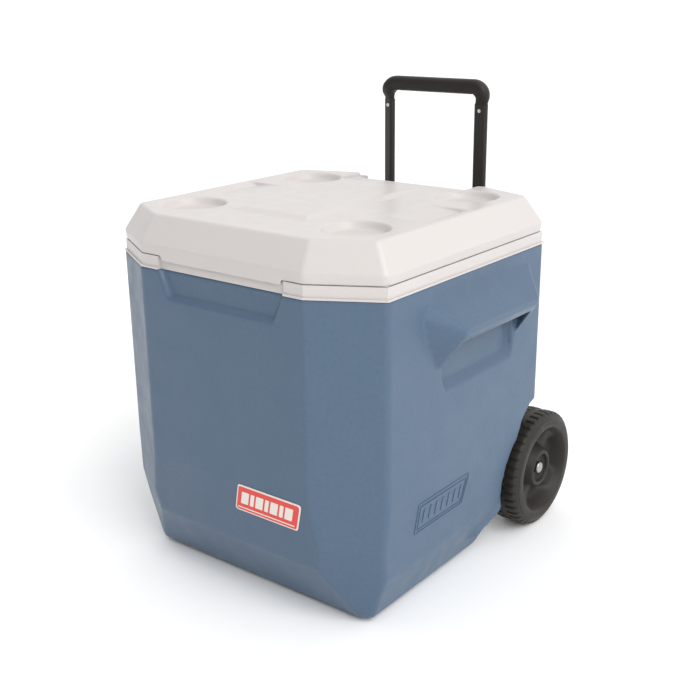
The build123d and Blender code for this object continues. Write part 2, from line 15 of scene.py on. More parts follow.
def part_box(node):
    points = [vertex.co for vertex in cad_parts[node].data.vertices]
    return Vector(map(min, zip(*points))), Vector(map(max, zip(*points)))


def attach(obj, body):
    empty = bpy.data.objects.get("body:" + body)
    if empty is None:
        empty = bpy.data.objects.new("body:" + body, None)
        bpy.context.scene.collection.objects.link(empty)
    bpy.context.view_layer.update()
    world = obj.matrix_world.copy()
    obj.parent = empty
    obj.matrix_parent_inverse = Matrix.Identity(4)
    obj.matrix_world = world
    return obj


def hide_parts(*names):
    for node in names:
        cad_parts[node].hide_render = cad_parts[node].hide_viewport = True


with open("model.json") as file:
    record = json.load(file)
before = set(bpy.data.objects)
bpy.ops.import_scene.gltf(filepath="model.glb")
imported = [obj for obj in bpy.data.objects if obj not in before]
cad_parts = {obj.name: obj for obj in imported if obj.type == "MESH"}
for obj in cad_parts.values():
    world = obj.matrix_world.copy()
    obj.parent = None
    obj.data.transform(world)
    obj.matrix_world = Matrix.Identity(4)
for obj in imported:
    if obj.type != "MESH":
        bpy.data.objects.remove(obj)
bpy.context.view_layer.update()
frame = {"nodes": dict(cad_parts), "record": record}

# ---------------------------------------------------------------- sizes, from the frame
MM = 0.001
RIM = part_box("inner_liner")
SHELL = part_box("body_shell")
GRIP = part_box("handle_grip")
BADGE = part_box("front_badge")
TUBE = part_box("handle_tube_right")

RIM_REVEAL = 0.3 * MM       # the blue wall stands this far outside the rim's foot
HALF_W = RIM[1].x + RIM_REVEAL
HALF_D = RIM[1].y + RIM_REVEAL
BODY_TOP = SHELL[1].z
RIM_TOP = RIM[1].z
RUNNER_H = 5 * MM
LEAN_TOP = 166 * MM
WALL_T = 29.5 * MM          # outer shell and insulation together
EDGE_R = 10 * MM
LID_BOTTOM = RIM_TOP + 0.5 * MM
LID_WIDE = LID_BOTTOM + 12.5 * MM
LID_TOP = LID_BOTTOM + 48 * MM
LID_SLOPE = 21 * MM
HANDLE_MID_Y = 24 * MM
PULL_DEPTH = 7 * MM

PUCK_TURNS = 24
PUCK_RISE = 8


# ---------------------------------------------------------------- plan of the body
def side_through(a, b):
    """Plan side through two points, as its outward normal and its distance from the middle."""
    along = (b - a).normalized()
    normal = Vector((along.y, -along.x))
    distance = normal.dot(a)
    return (normal, distance) if distance > 0 else (-normal, -distance)


FRONT_CORNER = side_through(Vector((132.3 * MM, -HALF_D)), Vector((HALF_W, -173.2 * MM)))
REAR_CORNER = side_through(Vector((120 * MM, HALF_D)), Vector((HALF_W, 186 * MM)))
# Height of each side's lower bevel, and how far the side has come in there and at the foot.
LEAN = {
    "front": (80 * MM, 9.7 * MM, 49 * MM),
    "side": (67 * MM, 7.6 * MM, 29.7 * MM),
    "corner": (108 * MM, 0.0, 20 * MM),
}


def plan_sides():
    """Every side of the plan as (outward normal, distance, name of its lean)."""
    sides = [(Vector((0, -1)), HALF_D, "front"), (Vector((0, 1)), HALF_D, None)]
    for (normal, distance), lean in ((FRONT_CORNER, "corner"), (REAR_CORNER, None)):
        sides.append((normal, distance, lean))
        sides.append((Vector((-normal.x, normal.y)), distance, lean))
    sides.append((Vector((1, 0)), HALF_W, "side"))
    sides.append((Vector((-1, 0)), HALF_W, "side"))
    return sides


def slanted(normal, low, high):
    """Half-space inside the plane through two (distance, height) pairs along a plan normal."""
    (c0, z0), (c1, z1) = low, high
    n = Vector((normal.x * (z1 - z0), normal.y * (z1 - z0), c0 - c1)).normalized()
    return n, n.dot(Vector((normal.x * c0, normal.y * c0, z0)))


def level(low, high):
    return [(Vector((0, 0, 1)), high), (Vector((0, 0, -1)), -low)]


def body_planes(low, high, inset=0.0):
    """Half-spaces of the body's form: upright above, leaning below, bevelled at the foot."""
    planes = level(low, high)
    for normal, distance, lean in plan_sides():
        planes.append(slanted(normal, (distance - inset, low), (distance - inset, high)))
        if lean is None:
            continue
        bevel_top, at_bevel, at_foot = LEAN[lean]
        full = distance - inset
        planes.append(slanted(normal, (full - at_foot, RUNNER_H), (full - at_bevel, bevel_top)))
        if at_bevel:
            planes.append(slanted(normal, (full - at_bevel, bevel_top), (full, LEAN_TOP)))
    return planes


# ---------------------------------------------------------------- mesh helpers
def add_object(name, mesh):
    obj = bpy.data.objects.new(name, mesh)
    bpy.context.scene.collection.objects.link(obj)
    return obj


def from_bmesh(name, bm):
    """Object of a bmesh, with its faces turned outwards."""
    bmesh.ops.recalc_face_normals(bm, faces=bm.faces)
    mesh = bpy.data.meshes.new(name)
    bm.to_mesh(mesh)
    bm.free()
    return add_object(name, mesh)


def puck(radius, edge):
    """Points on a disc of that radius whose rim is rounded by the edge radius."""
    points = []
    for turn in range(PUCK_TURNS):
        a = 2 * math.pi * turn / PUCK_TURNS
        for rise in range(PUCK_RISE + 1):
            b = math.pi * (rise / PUCK_RISE - 0.5)
            r = radius - edge + edge * math.cos(b)
            points.append(Vector((r * math.cos(a), r * math.sin(a), edge * math.sin(b))))
    return points


def hull(name, points, radius=0.0, edge=0.0):
    """Convex form around the points, each of them grown to a puck."""
    bm = bmesh.new()
    stamp = puck(radius, edge) if radius else [Vector()]
    for point, offset in itertools.product(points, stamp):
        bm.verts.new(point + offset)
    bmesh.ops.remove_doubles(bm, verts=bm.verts, dist=1e-6)
    found = bmesh.ops.convex_hull(bm, input=bm.verts)
    spare = set(found["geom_interior"]) | set(found["geom_unused"])
    bmesh.ops.delete(bm, geom=[g for g in spare if isinstance(g, bmesh.types.BMVert)], context="VERTS")
    return from_bmesh(name, bm)


def corner_points(planes):
    """Corners of the convex form that the half-spaces enclose."""
    points = []
    for trio in itertools.combinations(planes, 3):
        matrix = Matrix([n for n, _ in trio])
        if abs(matrix.determinant()) < 1e-6:
            continue
        point = matrix.inverted() @ Vector([d for _, d in trio])
        if all(n.dot(point) <= d + 1e-7 for n, d in planes):
            points.append(point)
    return points


def rounded(name, planes, radius, edge):
    """The half-spaces' form with upright edges rounded by radius and the others by edge."""
    shrunk = []
    for n, d in planes:
        reach = (radius - edge) * math.hypot(n.x, n.y) + edge
        shrunk.append((n, d - reach))
    return hull(name, corner_points(shrunk), radius, edge)


def block(x, y, z):
    return hull("block", [Vector(p) for p in itertools.product(x, y, z)])


def prism(outline, axis, span):
    """Prism of a closed outline along an axis; the outline holds the other two coordinates."""
    bm = bmesh.new()
    rings = []
    for value in span:
        ring = []
        for point in outline:
            place = list(point)
            place.insert("xyz".index(axis), value)
            ring.append(bm.verts.new(place))
        rings.append(ring)
    bm.faces.new(rings[0])
    bm.faces.new(rings[1])
    for i in range(len(outline)):
        j = (i + 1) % len(outline)
        bm.faces.new((rings[0][i], rings[0][j], rings[1][j], rings[1][i]))
    return from_bmesh("prism", bm)


def mm(points):
    return [tuple(value * MM for value in point) for point in points]


def revolve(name, profile, centre, axis, turns=96, close=True):
    """Closed surface from (along, radius) pairs turned about an axis through the centre."""
    bm = bmesh.new()
    rings = []
    for along, radius in profile:
        ring = []
        for turn in range(turns):
            a = 2 * math.pi * turn / turns
            u, v = radius * math.cos(a), radius * math.sin(a)
            place = {"x": (along, u, v), "y": (u, along, v), "z": (u, v, along)}[axis]
            ring.append(bm.verts.new(Vector(centre) + Vector(place)))
        rings.append(ring)
    pairs = list(zip(rings, rings[1:]))
    if close:
        pairs.append((rings[-1], rings[0]))
    else:
        bm.faces.new(rings[0])
        bm.faces.new(rings[-1])
    for one, two in pairs:
        for i in range(turns):
            j = (i + 1) % turns
            bm.faces.new((one[i], one[j], two[j], two[i]))
    return from_bmesh(name, bm)


def bake(obj):
    """Replace the object's mesh by what its modifiers make of it."""
    bpy.context.view_layer.update()
    graph = bpy.context.evaluated_depsgraph_get()
    mesh = bpy.data.meshes.new_from_object(obj.evaluated_get(graph))
    obj.modifiers.clear()
    obj.data = mesh


def combine(base, tools, operation):
    for tool in tools:
        modifier = base.modifiers.new("combine", "BOOLEAN")
        modifier.operation = operation
        modifier.solver = "MANIFOLD"
        modifier.object = tool
    bake(base)
    for tool in tools:
        bpy.data.objects.remove(tool)


def soften(obj, voxel, passes, triangles):
    """Even out the mesh, blend its edges and creases, and thin it to the triangle count."""
    remesh = obj.modifiers.new("even", "REMESH")
    remesh.mode = "VOXEL"
    remesh.voxel_size = voxel
    smooth = obj.modifiers.new("blend", "SMOOTH")
    smooth.factor = 0.5
    smooth.iterations = passes
    bake(obj)
    thin = obj.modifiers.new("thin", "DECIMATE")
    thin.ratio = min(1.0, triangles / (2 * len(obj.data.polygons)))
    bake(obj)
    obj.data.shade_smooth()


def crisp(obj, angle=35):
    """Smooth shading, with edges sharper than the angle kept."""
    obj.data.shade_smooth()
    obj.data.set_sharp_from_angle(angle=math.radians(angle))


def on_both_sides(make):
    return [make(1), make(-1)]


# ---------------------------------------------------------------- materials
def new_material(name, colour, roughness):
    material = bpy.data.materials.new(name)
    material.use_nodes = True
    shader = material.node_tree.nodes["Principled BSDF"]
    shader.inputs["Base Color"].default_value = (*colour, 1)
    shader.inputs["Roughness"].default_value = roughness
    return material, shader


def node(material, kind, **inputs):
    made = material.node_tree.nodes.new(kind)
    for key, value in inputs.items():
        made.inputs[key.replace("_", " ")].default_value = value
    return made


def place_node(material):
    return material.node_tree.nodes.new("ShaderNodeTexCoord").outputs["Object"]


def link(material, out, into):
    material.node_tree.links.new(out, into)


def noise(material, place, scale, detail=2.0, stretch=None):
    """Noise in the piece's own space, scaled in turns per metre."""
    made = node(material, "ShaderNodeTexNoise", Scale=scale, Detail=detail)
    if stretch:
        mapping = node(material, "ShaderNodeMapping", Scale=stretch)
        link(material, place, mapping.inputs["Vector"])
        place = mapping.outputs["Vector"]
    link(material, place, made.inputs["Vector"])
    return made.outputs["Fac"]


def spread(material, value, low, high):
    """Map a 0.3 to 0.7 noise onto low to high."""
    made = node(material, "ShaderNodeMapRange", From_Min=0.3, From_Max=0.7, To_Min=low, To_Max=high)
    link(material, value, made.inputs["Value"])
    return made.outputs["Result"]


def mottle(material, shader, place, colour, scale, amount):
    """Slow shift of the colour's brightness over the surface."""
    mix = material.node_tree.nodes.new("ShaderNodeMix")
    mix.data_type = "RGBA"
    mix.inputs["A"].default_value = (*[c * (1 - amount) for c in colour], 1)
    mix.inputs["B"].default_value = (*[min(1, c * (1 + amount)) for c in colour], 1)
    link(material, noise(material, place, scale, 3), mix.inputs["Factor"])
    link(material, mix.outputs["Result"], shader.inputs["Base Color"])
    return mix


def bump(material, shader, height, distance, strength=1.0, before=None):
    made = node(material, "ShaderNodeBump", Strength=strength, Distance=distance)
    link(material, height, made.inputs["Height"])
    if before:
        link(material, before.outputs["Normal"], made.inputs["Normal"])
    link(material, made.outputs["Normal"], shader.inputs["Normal"])
    return made


def pebbled(name, colour, roughness, grain, depth, amount=0.05, shine=0.5):
    """Moulded plastic with a pebble grain: cells of about the grain's size."""
    material, shader = new_material(name, colour, roughness)
    place = place_node(material)
    shader.inputs["Specular IOR Level"].default_value = shine
    mottle(material, shader, place, colour, 0.3 / grain, amount)
    link(material, spread(material, noise(material, place, 30), roughness - 0.05, roughness + 0.06),
         shader.inputs["Roughness"])
    cells = node(material, "ShaderNodeTexVoronoi", Scale=1 / grain)
    cells.feature = "SMOOTH_F1"
    link(material, place, cells.inputs["Vector"])
    fine = bump(material, shader, cells.outputs["Distance"], depth)
    bump(material, shader, noise(material, place, 0.25 / grain, 3), depth * 1.5, 0.6, fine)
    return material


def satin(name, colour, roughness, amount=0.02, wave=0.12 * MM):
    """Smooth moulded plastic, whose surface is never quite flat."""
    material, shader = new_material(name, colour, roughness)
    place = place_node(material)
    mottle(material, shader, place, colour, 6, amount)
    link(material, spread(material, noise(material, place, 45), roughness - 0.04, roughness + 0.05),
         shader.inputs["Roughness"])
    slow = bump(material, shader, noise(material, place, 14, 1), wave)
    bump(material, shader, noise(material, place, 900, 2), 0.02 * MM, 0.5, slow)
    return material


def coated(name, colour, roughness):
    """Thin satin paint over drawn tube, with faint lengthwise draw marks."""
    material, shader = new_material(name, colour, roughness)
    shader.inputs["Specular IOR Level"].default_value = 0.4
    place = place_node(material)
    mottle(material, shader, place, colour, 20, 0.12)
    marks = noise(material, place, 260, 2, (1, 1, 0.04))
    link(material, spread(material, marks, roughness - 0.07, roughness + 0.07), shader.inputs["Roughness"])
    bump(material, shader, marks, 0.03 * MM)
    return material


def metal(name, colour, roughness, brush):
    material, shader = new_material(name, colour, roughness)
    shader.inputs["Metallic"].default_value = 1.0
    place = place_node(material)
    mottle(material, shader, place, colour, 60, 0.06)
    marks = noise(material, place, 700, 2, brush)
    link(material, spread(material, marks, roughness - 0.04, roughness + 0.1), shader.inputs["Roughness"])
    bump(material, shader, marks, 0.02 * MM)
    return material


BLUE = pebbled("blue_shell", (0.068, 0.116, 0.184), 0.40, 1.3 * MM, 0.16 * MM, 0.10)
WHITE = satin("white_plastic", (0.575, 0.54, 0.525), 0.36)
GREY_BLACK = pebbled("black_plastic", (0.018, 0.015, 0.013), 0.5, 0.8 * MM, 0.07 * MM, 0.10, 0.3)
TYRE_BLACK = pebbled("wheel_plastic", (0.020, 0.017, 0.014), 0.52, 1.1 * MM, 0.08 * MM, 0.22, 0.35)
TUBE_BLACK = coated("black_tube", (0.014, 0.012, 0.010), 0.36)
STEEL = metal("bright_steel", (0.62, 0.61, 0.6), 0.28, (1, 1, 0.2))
CHROME = metal("chrome", (0.38, 0.38, 0.38), 0.22, (1, 1, 1))
RED = satin("badge_red", (0.72, 0.050, 0.038), 0.34, 0.03, 0.05 * MM)
CREAM = satin("badge_cream", (0.80, 0.74, 0.68), 0.38, 0.02, 0.05 * MM)
RUBBER = pebbled("drain_rubber", (0.03, 0.03, 0.03), 0.6, 0.7 * MM, 0.05 * MM)
FOAM = pebbled("foam", (0.78, 0.70, 0.48), 0.85, 2.5 * MM, 0.4 * MM, 0.08)
BY_SLOT = {
    "blue_shell": BLUE, "white_plastic": WHITE, "foam": FOAM, "bright_steel": STEEL,
    "black_tube": TUBE_BLACK, "black_plastic": GREY_BLACK, "wheel_plastic": TYRE_BLACK,
    "badge_red": RED, "drain_rubber": RUBBER,
}


def paint(obj, material):
    obj.data.materials.clear()
    obj.data.materials.append(material)
    return obj


def paint_cad_nodes():
    """Give each carried-over node the material of its slot in the record."""
    for part in frame["record"]["subparts"]:
        obj = frame["nodes"][part["node"]]
        paint(obj, BY_SLOT[part["material_slot"]])
        crisp(obj, 30)
    for side in ("right", "left"):
        paint(frame["nodes"][f"push_nut_{side}"], CHROME)


def finish_piece(obj, material, body, slot, *nodes):
    """Material, body and replaced nodes of a finished piece; the slot argument is not used."""
    paint(obj, material)
    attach(obj, body)
    if nodes:
        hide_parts(*nodes)
    return obj


# ---------------------------------------------------------------- blue body
UNDERSIDE = mm([(72, -60), (72, 5), (118, 61), (184, 61), (184, 98), (280, 98), (280, -60)])
ARCH_TOP = mm([(137, 152), (149, 178), (170, 196), (195, 203), (280, 203), (280, 85), (204, 85)])
FENDER = mm([(18, 34), (50, 67), (50, 120), (126, 120), (126, 61), (100, 45), (60, 29)])
FENDER_X = (183 * MM, 196 * MM, 212 * MM)    # inner face, and outer face at its front and rear
ARCH_R = 95 * MM
ARCH_X = 172 * MM
WHEEL_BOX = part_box("wheel_right")
WHEEL_Y = (WHEEL_BOX[0].y + WHEEL_BOX[1].y) / 2
WHEEL_Z = (WHEEL_BOX[0].z + WHEEL_BOX[1].z) / 2
BEYOND = 30 * MM            # how far a cutting tool reaches past the body
LINER_FOOT = 37 * MM        # underside of the liner's floor
RUNNER_X = (-120 * MM, 0, 120 * MM)
RUNNER_HALF_W = 12 * MM
RUNNER_Y = (-140 * MM, 50 * MM)
RUNNER_ROOT = 20 * MM       # the runners run up inside the body to here
DRAIN_Z = 57 * MM
POCKET_X = 193 * MM         # flat floor of the drain's pocket
POCKET_R = 26 * MM

# Moulded side handle as (half length, height) pairs, on the wall and on its lip. The hood's
# points are grown to pucks of HOOD_R, rounded by HOOD_EDGE.
HOOD_WALL = mm([(124, 407), (132, 392), (122, 357), (96, 310.5)])
HOOD_LIP = mm([(86, 371), (87, 368), (86, 363)])
HOOD_X = (205 * MM, 244 * MM)
HOOD_R, HOOD_EDGE = 8 * MM, 3 * MM
ROOM_WALL = mm([(108, 398), (110, 384), (102, 351), (88, 306)])
ROOM_LIP = mm([(80, 366), (81, 360), (81, 350), (78, 334)])
ROOM_X = (HALF_W - 1 * MM, 244 * MM)
RECESS_OUT = mm([(86, 378), (86, 300), (80, 281)])
RECESS_IN = mm([(82, 376), (82, 306), (76, 296)])
RECESS_DEPTH = 8 * MM


def ring_points(half_outline, x, side):
    """Points of a ring about the side handle's middle."""
    points = []
    for half, z in half_outline:
        points.append(Vector((side * x, HANDLE_MID_Y + half, z)))
        points.append(Vector((side * x, HANDLE_MID_Y - half, z)))
    return points


def hood(side):
    """Outer form of the moulded side handle."""
    points = ring_points(HOOD_WALL, HOOD_X[0], side) + ring_points(HOOD_LIP, HOOD_X[1], side)
    return hull("hood", points, HOOD_R, HOOD_EDGE)


def hood_room(side):
    """Room for the fingers under the hood."""
    on_wall = ring_points(ROOM_WALL, ROOM_X[0], side)
    return hull("room", on_wall + ring_points(ROOM_LIP, ROOM_X[1], side))


def hood_recess(side):
    """Shallow recess in the wall behind the hood."""
    inner = ring_points(RECESS_IN, HALF_W - RECESS_DEPTH, side)
    return hull("recess", inner + ring_points(RECESS_OUT, HALF_W + 1 * MM, side))


def fender(side):
    """Side wall carried down beside the wheel, growing out of the bevel towards the rear."""
    inner, front_x, rear_x = FENDER_X
    front_y, rear_y = min(y for y, _ in FENDER), max(y for y, _ in FENDER)
    points = []
    for y, z in FENDER:
        outer = front_x + (rear_x - front_x) * (y - front_y) / (rear_y - front_y)
        points += [Vector((side * inner, y, z)), Vector((side * outer, y, z))]
    return hull("fender", points)


def arch_disc(side):
    reach = HALF_W + BEYOND - ARCH_X
    profile = [(0, ARCH_R), (side * reach, ARCH_R)]
    return revolve("arch", profile, (side * ARCH_X, WHEEL_Y, WHEEL_Z), "x", 96, close=False)


def arch_top(side):
    return prism(ARCH_TOP, "x", (side * ARCH_X, side * (HALF_W + BEYOND)))


def finger_pull():
    """Shallow recess with sloping edges in the top of the front face."""
    outer = [(-103, 425), (-88, 388), (88, 388), (103, 425)]
    inner = [(-98, 425), (-83, 393.5), (83, 393.5), (98, 425)]
    points = [Vector((x * MM, -HALF_D - 0.2 * MM, z * MM)) for x, z in outer]
    points += [Vector((x * MM, -HALF_D + PULL_DEPTH, z * MM)) for x, z in inner]
    return hull("pull", points)


def drain_pocket():
    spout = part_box("drain_spout")
    y = (spout[0].y + spout[1].y) / 2
    reach = HALF_W + BEYOND
    profile = [(0, POCKET_R), (reach - POCKET_X, POCKET_R)]
    return revolve("pocket", profile, (-reach, y, DRAIN_Z), "x", 64, close=False)


def make_body():
    """Blue outer body with its side handles, in one soft-edged moulding."""
    form = rounded("body_moulding", body_planes(RUNNER_H, BODY_TOP + BEYOND), EDGE_R, EDGE_R)
    added = on_both_sides(fender) + on_both_sides(hood)
    for x in RUNNER_X:
        added.append(block((x - RUNNER_HALF_W, x + RUNNER_HALF_W), RUNNER_Y, (0, RUNNER_ROOT)))
    combine(form, added, "UNION")
    wide = HALF_W + BEYOND
    inside = body_planes(LINER_FOOT, BODY_TOP + 2 * BEYOND, WALL_T)
    cuts = [
        block((-wide, wide), (-wide, wide), (BODY_TOP, BODY_TOP + 2 * BEYOND)),
        prism(UNDERSIDE, "x", (-wide, wide)),
        finger_pull(),
        drain_pocket(),
        rounded("inside", inside, EDGE_R, EDGE_R),
    ]
    for make in (arch_disc, arch_top, hood_room, hood_recess):
        cuts += on_both_sides(make)
    combine(form, cuts, "DIFFERENCE")
    soften(form, 1.8 * MM, 4, 190000)
    finish_piece(form, BLUE, "body", "blue_shell", "body_shell", "body_foam")


# ---------------------------------------------------------------- lid
CUP_X, CUP_Y = 132.8 * MM, 121.9 * MM
CUP_DEPTH = 11 * MM
PANEL_Y = 5 * MM
LID_REVEAL = 1 * MM         # the lid's widest line lies this far inside the body's plan
LID_TUCK = 2 * MM           # how far its foot comes in below that line
LIP_DROP = 6.5 * MM
LIP_HALF = (97 * MM, 100 * MM)      # half width of the front lip, at its foot and at its root


def cup(x, y):
    """Cutter of a cup recess, as (height above its floor, radius) in millimetres."""
    profile = mm([
        (0, 0.5), (0, 33), (0.6, 35.5), (2.4, 37.4), (9.5, 41.6), (10.6, 42.6), (11, 44.5), (16, 46),
    ])
    return revolve("cup", profile, (x, y, LID_TOP - CUP_DEPTH), "z", 96, close=False)


def raised_panel():
    """Low middle panel of the lid, with sloping sides."""
    points = []
    for half_x, half_y, z in ((67, 136, -1), (50, 119, 3.5)):
        for sx, sy in itertools.product((-1, 1), repeat=2):
            points.append(Vector((sx * half_x * MM, PANEL_Y + sy * half_y * MM, LID_TOP + z * MM)))
    return hull("panel", points)


def side_scoop(side):
    """Wedge between the two cups of a side, deeper outwards."""
    corners = ((123, 0), (172, -5), (188, 0), (188, 3), (123, 3))
    outline = [(side * x * MM, LID_TOP + z * MM) for x, z in corners]
    return prism(outline, "y", (-47 * MM, 43 * MM))


def rear_dip():
    """Lowered rear middle of the lid, in front of the handle."""
    outline = [(140, 8), (140, 0), (166, -9), (230, -9), (230, 8)]
    return prism([(y * MM, LID_TOP + z * MM) for y, z in outline], "x", (-104 * MM, 104 * MM))


def lid_planes():
    """Half-spaces of the lid's form, which starts below the lid so that its foot stays sharp."""
    planes = level(LID_BOTTOM - 12 * MM, LID_TOP)
    for normal, distance, _ in plan_sides():
        wide = distance - LID_REVEAL
        planes.append(slanted(normal, (wide - LID_TUCK, LID_BOTTOM), (wide, LID_WIDE)))
        planes.append(slanted(normal, (wide, LID_WIDE), (wide - LID_SLOPE, LID_TOP)))
    return planes


def front_lip():
    """Tab under the lid's front edge, with slanted ends, that the fingers lift."""
    heights = (LID_BOTTOM - LIP_DROP, LID_BOTTOM + 4 * MM)
    points = []
    for y in (-HALF_D + 2 * MM, -HALF_D + PULL_DEPTH - 1 * MM):
        for half, z in zip(LIP_HALF, heights):
            points += [Vector((-half, y, z)), Vector((half, y, z))]
    return hull("lip", points)


def make_lid():
    """White lid with cup recesses, a raised middle and a lowered rear, in one moulding."""
    form = rounded("lid_moulding", lid_planes(), 10 * MM, 4.5 * MM)
    wide = HALF_W + BEYOND
    below = block((-wide, wide), (-wide, wide), (LID_BOTTOM - 3 * BEYOND, LID_BOTTOM))
    combine(form, [below], "DIFFERENCE")
    combine(form, [raised_panel(), front_lip()], "UNION")
    seat = body_planes(LID_BOTTOM - 3 * MM, LID_BOTTOM + 3.2 * MM, 4.4 * MM)
    room = rounded("room", seat, 6 * MM, 0.5 * MM)      # for the lid's inner panel
    cuts = [cup(sx * CUP_X, sy * CUP_Y) for sx, sy in itertools.product((-1, 1), repeat=2)]
    cuts += on_both_sides(side_scoop) + [rear_dip(), room]
    combine(form, cuts, "DIFFERENCE")
    soften(form, 1.6 * MM, 4, 190000)
    finish_piece(form, WHITE, "lid", "white_plastic", "lid_shell", "lid_foam")


# ---------------------------------------------------------------- wheels
LUGS = 42
TURNS = LUGS * 12
WHEEL_W = WHEEL_BOX[1].x - WHEEL_BOX[0].x
POCKETS = 4
TREAD_FROM = 76             # millimetres from the axis, beyond which the lugs are cut
FACE_DEPTH = 30             # millimetres behind the outer face that the pockets reach
MARK_R = 69.3 * MM          # circle of the sidewall's studs
MARK_LENGTHS = (3.4 * MM, 2.0 * MM, 2.8 * MM)
MARK_ANGLES = [62 + 7 * i + 180 * group for group in range(2) for i in range(9)]


def step(value, low, high):
    """Smooth rise from 0 at low to 1 at high."""
    t = max(0.0, min(1.0, (value - low) / (high - low)))
    return t * t * (3 - 2 * t)


def rounded_profile(points, passes=3):
    """Open profile with its corners cut round (Chaikin)."""
    for _ in range(passes):
        finer = [points[0]]
        for a, b in zip(points, points[1:]):
            finer.append((a[0] * 0.8 + b[0] * 0.2, a[1] * 0.8 + b[1] * 0.2))
            finer.append((a[0] * 0.2 + b[0] * 0.8, a[1] * 0.2 + b[1] * 0.8))
        finer.append(points[-1])
        points = finer
    return points


def wheel_profile():
    """(depth from the outer face, radius) round the wheel's section, in millimetres."""
    return [
        (14, 6.2), (14, 19.5), (7.2, 21), (6.4, 23.5), (7.2, 26.5), (15, 31), (16.5, 44), (13, 56),
        (3, 61.5), (0.5, 63.5), (0, 69), (0.5, 75), (1.6, 76.2), (3.2, 80), (6, 84), (10, 85), (22, 85),
        (23, 83.2), (30, 83.2), (31, 85), (43, 85), (47, 84), (50, 80), (53, 75), (53, 66), (50, 63),
        (37, 60), (37, 26), (45, 24), (45, 6.2),
    ]


def lug_cut(depth, turn):
    """How far the tread lies below its crown: slots between staggered lugs."""
    width = WHEEL_W / MM
    row = 0.0 if depth < width / 2 else 0.5
    phase = (turn * LUGS + row) % 1.0
    slot = step(phase, 0.62, 0.72) * (1 - step(phase, 0.90, 1.0))
    edge = min(depth, width - depth)
    return 2.2 * slot * step(edge, 2.5, 6.0) * (1 - step(edge, 21, 22.5))


def pocket_cut(radius, turn):
    """Scooped pockets between the spokes of the dished face."""
    phase = (turn * POCKETS + 0.4) % 1.0
    along = step(phase, 0.06, 0.24) * (1 - step(phase, 0.70, 0.90))
    return 9.0 * along * step(radius, 29, 38) * (1 - step(radius, 50, 59))


def wheel(side, name, body, node_name):
    """Moulded wheel, built by turning its section and pressing in lugs and pockets."""
    bm = bmesh.new()
    face_x = WHEEL_BOX[1].x
    rings = []
    for depth, radius in rounded_profile(wheel_profile()):
        ring = []
        for i in range(TURNS):
            turn = i / TURNS
            r, d = radius, depth
            if radius > TREAD_FROM:
                r -= lug_cut(depth, turn)
            elif depth < FACE_DEPTH:
                d += pocket_cut(radius, turn)
            angle = 2 * math.pi * turn
            y = WHEEL_Y + r * MM * math.cos(angle)
            z = WHEEL_Z + r * MM * math.sin(angle)
            ring.append(bm.verts.new((side * (face_x - d * MM), y, z)))
        rings.append(ring)
    for one, two in zip(rings, rings[1:] + rings[:1]):
        for i in range(TURNS):
            j = (i + 1) % TURNS
            bm.faces.new((one[i], one[j], two[j], two[i]))
    obj = from_bmesh(name, bm)
    crisp(obj, 50)
    finish_piece(obj, TYRE_BLACK, body, "wheel_plastic", node_name)


def wheel_marks(side, body):
    """Small raised studs and bars on the sidewall, a generic moulded pattern."""
    bm = bmesh.new()
    face_x = side * (WHEEL_BOX[1].x - 0.2 * MM)
    hub = Matrix.Translation((face_x, WHEEL_Y, WHEEL_Z))
    for i, angle in enumerate(MARK_ANGLES):
        turn = Matrix.Rotation(math.radians(angle), 4, "X")
        place = hub @ turn @ Matrix.Translation((0, MARK_R, 0))
        scale = Matrix.Diagonal((0.9 * MM, MARK_LENGTHS[i % 3], 2.2 * MM, 1))
        bmesh.ops.create_cube(bm, size=1, matrix=place @ scale)
    bmesh.ops.bevel(bm, geom=bm.edges, offset=0.3 * MM, segments=2, affect="EDGES", profile=0.5)
    obj = from_bmesh(f"sidewall_marks_{body}", bm)
    crisp(obj)
    finish_piece(obj, TYRE_BLACK, body, "wheel_plastic")


def make_wheels():
    for side, body in ((1, "wheel_right"), (-1, "wheel_left")):
        wheel(side, f"moulded_{body}", body, body)
        wheel_marks(side, body)


# ---------------------------------------------------------------- handle grip
TUBE_X = 79.4 * MM
HANDLE_Y = (GRIP[0].y + GRIP[1].y) / 2
TUBE_TWIST = math.radians(18)
BAR_HALF = 10.5 * MM
NECK_LOW = TUBE[1].z - 0.5 * MM
BAR_Z = GRIP[1].z - BAR_HALF
CORNER_R = 15 * MM          # of the bar's middle line, where it turns down
GRIP_SIDES = 40
GRIP_POWER = 2.0 / 2.7      # squares the section's oval a little


def grip_path():
    """Points and directions from the left neck over the bar to the right neck."""
    half = GRIP[1].x - BAR_HALF
    spine = [(NECK_LOW + (BAR_Z - CORNER_R - NECK_LOW) * i / 6, i / 6) for i in range(7)]
    points = [(-TUBE_X + (TUBE_X - half) * t, z, math.pi / 2) for z, t in spine]
    for i in range(1, 13):
        a = math.pi - math.pi / 2 * i / 12
        points.append((-half + CORNER_R + CORNER_R * math.cos(a), BAR_Z - CORNER_R + CORNER_R * math.sin(a),
                       a - math.pi / 2))
    straight = half - CORNER_R
    left = points + [(-straight * (1 - i / 8), BAR_Z, 0.0) for i in range(1, 9)]
    right = [(-x, z, -heading) for x, z, heading in reversed(left[:-1])]
    return left + right


def grip_section(share):
    """Half width, half depth and twist of the grip's section; share is 0 at a neck's foot."""
    swell = step(share, 0.0, 0.75)
    half_w = (9.0 + 1.5 * swell) * MM
    half_d = (4.2 + 6.3 * swell) * MM
    return half_w, half_d, TUBE_TWIST * (1 - step(share, 0.1, 0.9))


